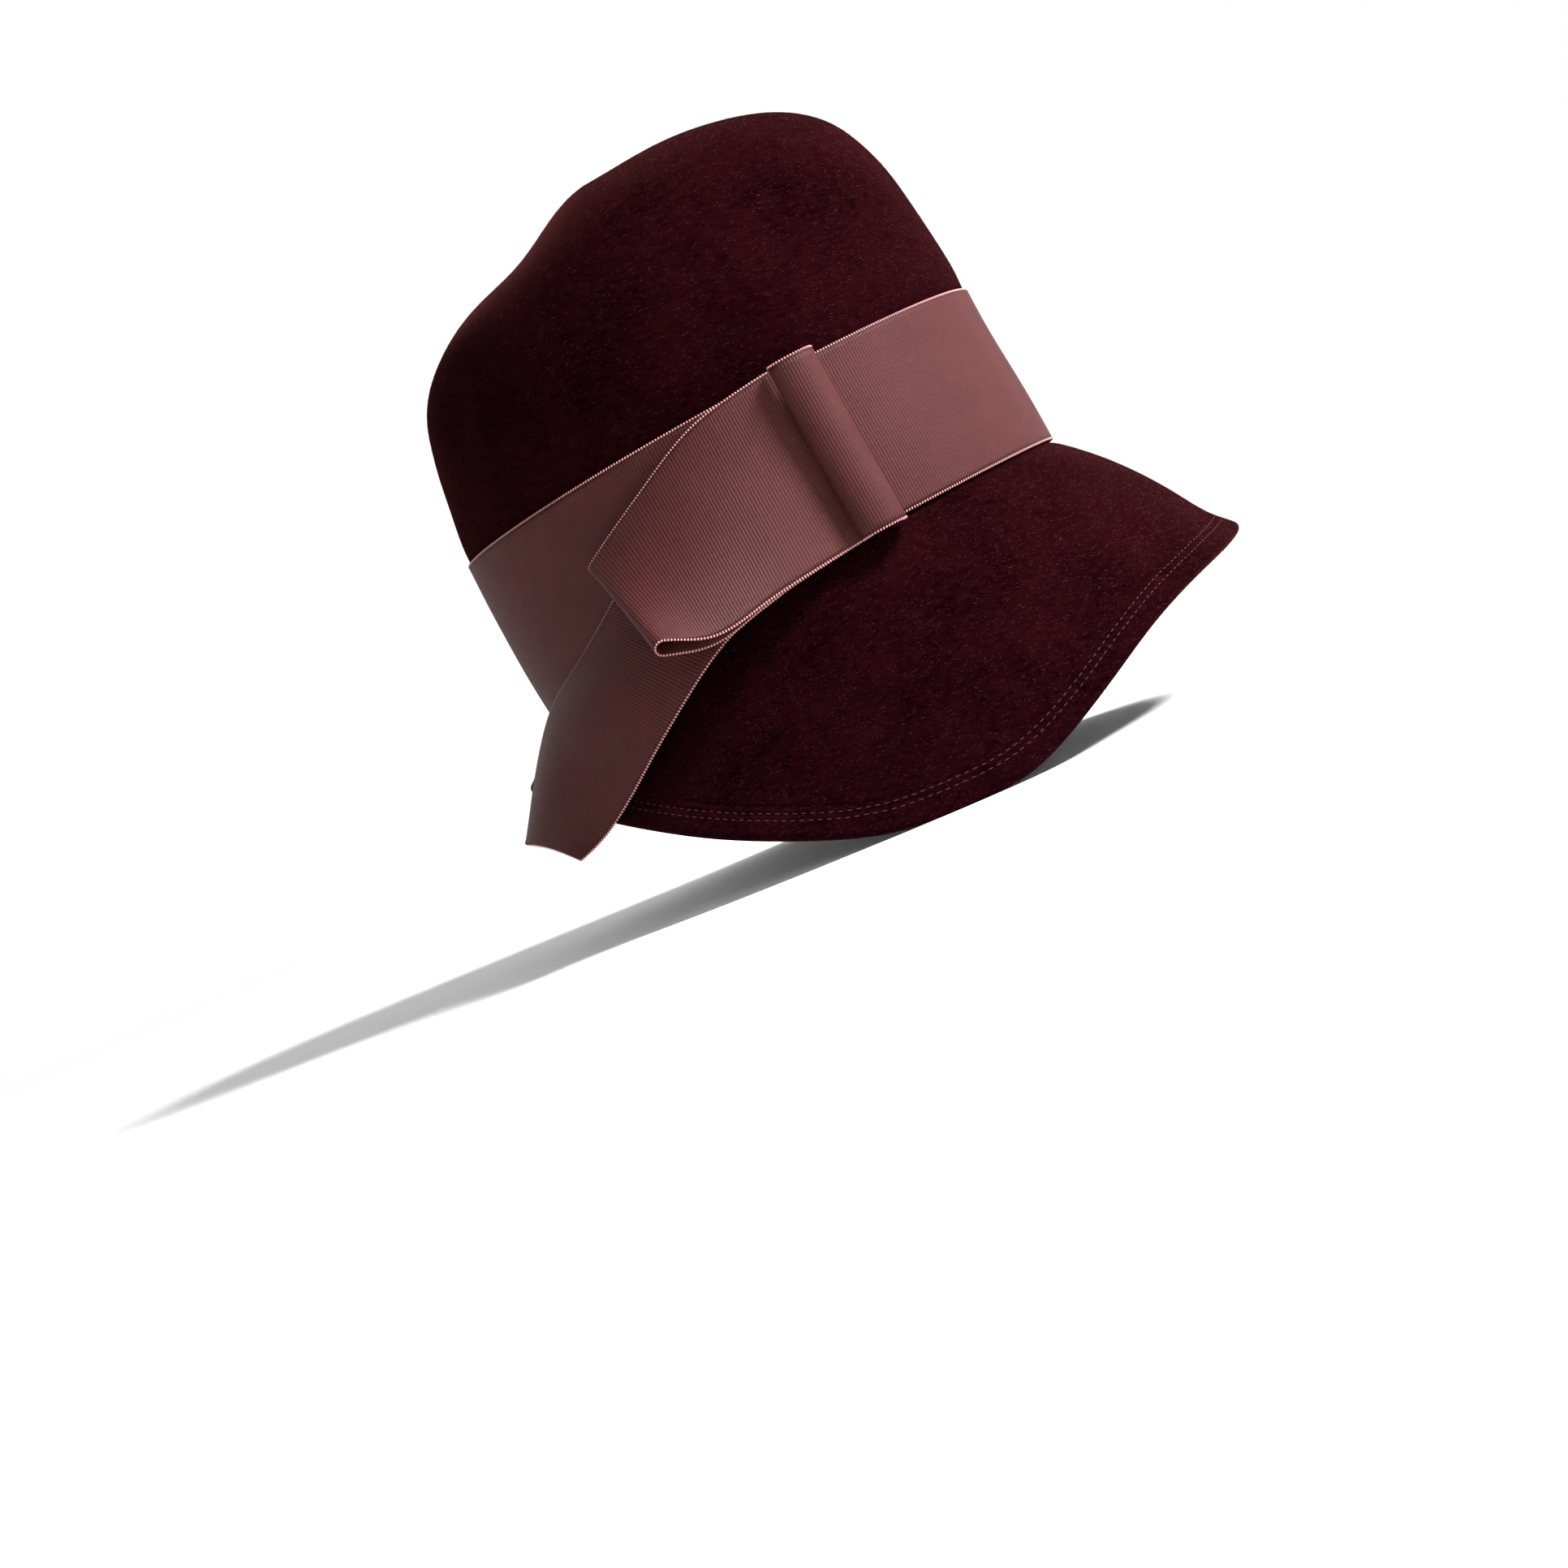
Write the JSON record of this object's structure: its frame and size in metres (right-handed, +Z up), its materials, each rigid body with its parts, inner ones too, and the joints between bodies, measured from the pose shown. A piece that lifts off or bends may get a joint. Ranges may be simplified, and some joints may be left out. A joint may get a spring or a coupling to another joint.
{
  "type": "cloche hat",
  "caption": "Tall-crowned cloche hat in dark burgundy velour felt with a deep side brim, wide ribbon band and flat side bow.",
  "frame": {"origin": "middle of the bounding box at the height of the surface that the hat stands on", "axes": "+X towards the wearer's front, +Y towards the wearer's left, +Z up"},
  "size_m": [0.2664, 0.2548, 0.2437],
  "materials": {
    "felt": "matte velour nap",
    "ribbon": "ribbed grosgrain with a soft sheen"
  },
  "bodies": {
    "root": {"crown": "felt", "brim": "felt", "band": "ribbon", "bow_tail": "ribbon", "bow_loop": "ribbon", "bow_knot": "ribbon"}
  },
  "joints": []
}
